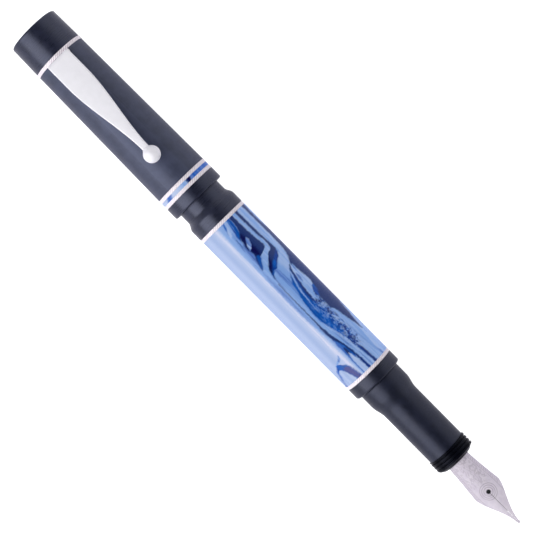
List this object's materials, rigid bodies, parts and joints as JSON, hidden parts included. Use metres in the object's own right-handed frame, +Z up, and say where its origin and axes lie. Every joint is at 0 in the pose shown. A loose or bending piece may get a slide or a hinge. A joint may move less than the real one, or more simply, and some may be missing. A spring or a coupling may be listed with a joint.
{
  "type": "fountain pen",
  "caption": "Fountain pen with its cap posted on the tail: swirled blue barrel sleeve, black cap and section, ball-ended clip, steel nib, and a piston converter inside.",
  "frame": {"origin": "on the surface that the pen lies on, under the middle of its posted length; the pen's axis is 8.225 mm above it", "axes": "+X along the pen, from the closed end of the cap to the tip of the nib; +Z up, through the clip and the top of the nib"},
  "size_m": [0.185, 0.0164, 0.0212],
  "materials": {
    "cap_black": "satin blue-black resin, finely brushed round",
    "end_black": "semi-gloss blue-black resin",
    "section_black": "satin blue-black resin",
    "thread_black": "glossy black resin",
    "trim_silver": "polished silver ring",
    "clip_silver": "satin silver, pearled",
    "swirl_acrylic": "polished cast resin, pale blue, azure and navy swirls",
    "liner_brass": "drawn brass tube",
    "inner_plastic": "moulded black plastic",
    "feed_plastic": "moulded black plastic",
    "nib_steel": null,
    "tipping_metal": "polished hard metal",
    "converter_clear": "clear moulded plastic",
    "converter_metal": "plated",
    "knob_plastic": "black moulded plastic, fluted",
    "rod_plastic": "pale moulded plastic",
    "seal_rubber": "black seal"
  },
  "bodies": {
    "section": {"section_grip": "section_black", "section_nose": "thread_black"},
    "nib_unit": {"nib_housing": "inner_plastic", "feed": "feed_plastic", "nib": "nib_steel", "nib_tipping": "tipping_metal"},
    "converter": {"converter_tube": "converter_clear", "converter_ferrule": "converter_metal"},
    "converter_knob": {"converter_knob": "knob_plastic", "piston_screw": "converter_metal"},
    "piston": {"piston_rod": "rod_plastic", "piston_seal": "seal_rubber"},
    "barrel": {"barrel_tail": "end_black", "barrel_rear_ring": "trim_silver", "barrel_sleeve": "swirl_acrylic", "barrel_front_ring": "trim_silver", "barrel_collar": "end_black", "barrel_liner": "liner_brass"},
    "cap": {"cap_finial": "end_black", "clip_ring": "trim_silver", "cap_tube": "cap_black", "cap_band_upper_ring": "trim_silver", "cap_band_inlay": "swirl_acrylic", "cap_band_lower_ring": "trim_silver", "cap_lip": "end_black", "cap_thread_insert": "thread_black", "inner_cap": "inner_plastic"},
    "clip": {"clip": "clip_silver"}
  },
  "joints": [
    {"name": "barrel_slide", "type": "slide", "parent": "section", "child": "barrel", "axis": [-1, 0, 0], "range_m": [0, 0.07]},
    {"name": "cap_slide", "type": "slide", "parent": "barrel", "child": "cap", "axis": [-1, 0, 0], "range_m": [0, 0.03]},
    {"name": "clip_flex", "type": "hinge", "parent": "cap", "child": "clip", "pos_m": [-0.08148, 0, 0.01593], "axis": [0, -1, 0], "range_deg": [0, 4], "stiffness_Nm_per_rad": 2.5},
    {"name": "nib_unit_slide", "type": "slide", "parent": "section", "child": "nib_unit", "axis": [1, 0, 0], "range_m": [0, 0.02]},
    {"name": "converter_slide", "type": "slide", "parent": "section", "child": "converter", "axis": [-1, 0, 0], "range_m": [0, 0.01]},
    {"name": "knob_turn", "type": "hinge", "parent": "converter", "child": "converter_knob", "pos_m": [-0.012, 0, 0.00822], "axis": [-1, 0, 0], "range_deg": [0, 1440]},
    {"name": "piston_slide", "type": "slide", "parent": "converter", "child": "piston", "axis": [1, 0, 0], "range_m": [0, 0.02]}
  ],
  "couplings": [
    {"joint": "knob_turn", "follows": "piston_slide", "rad_per_m": 1256.6}
  ]
}
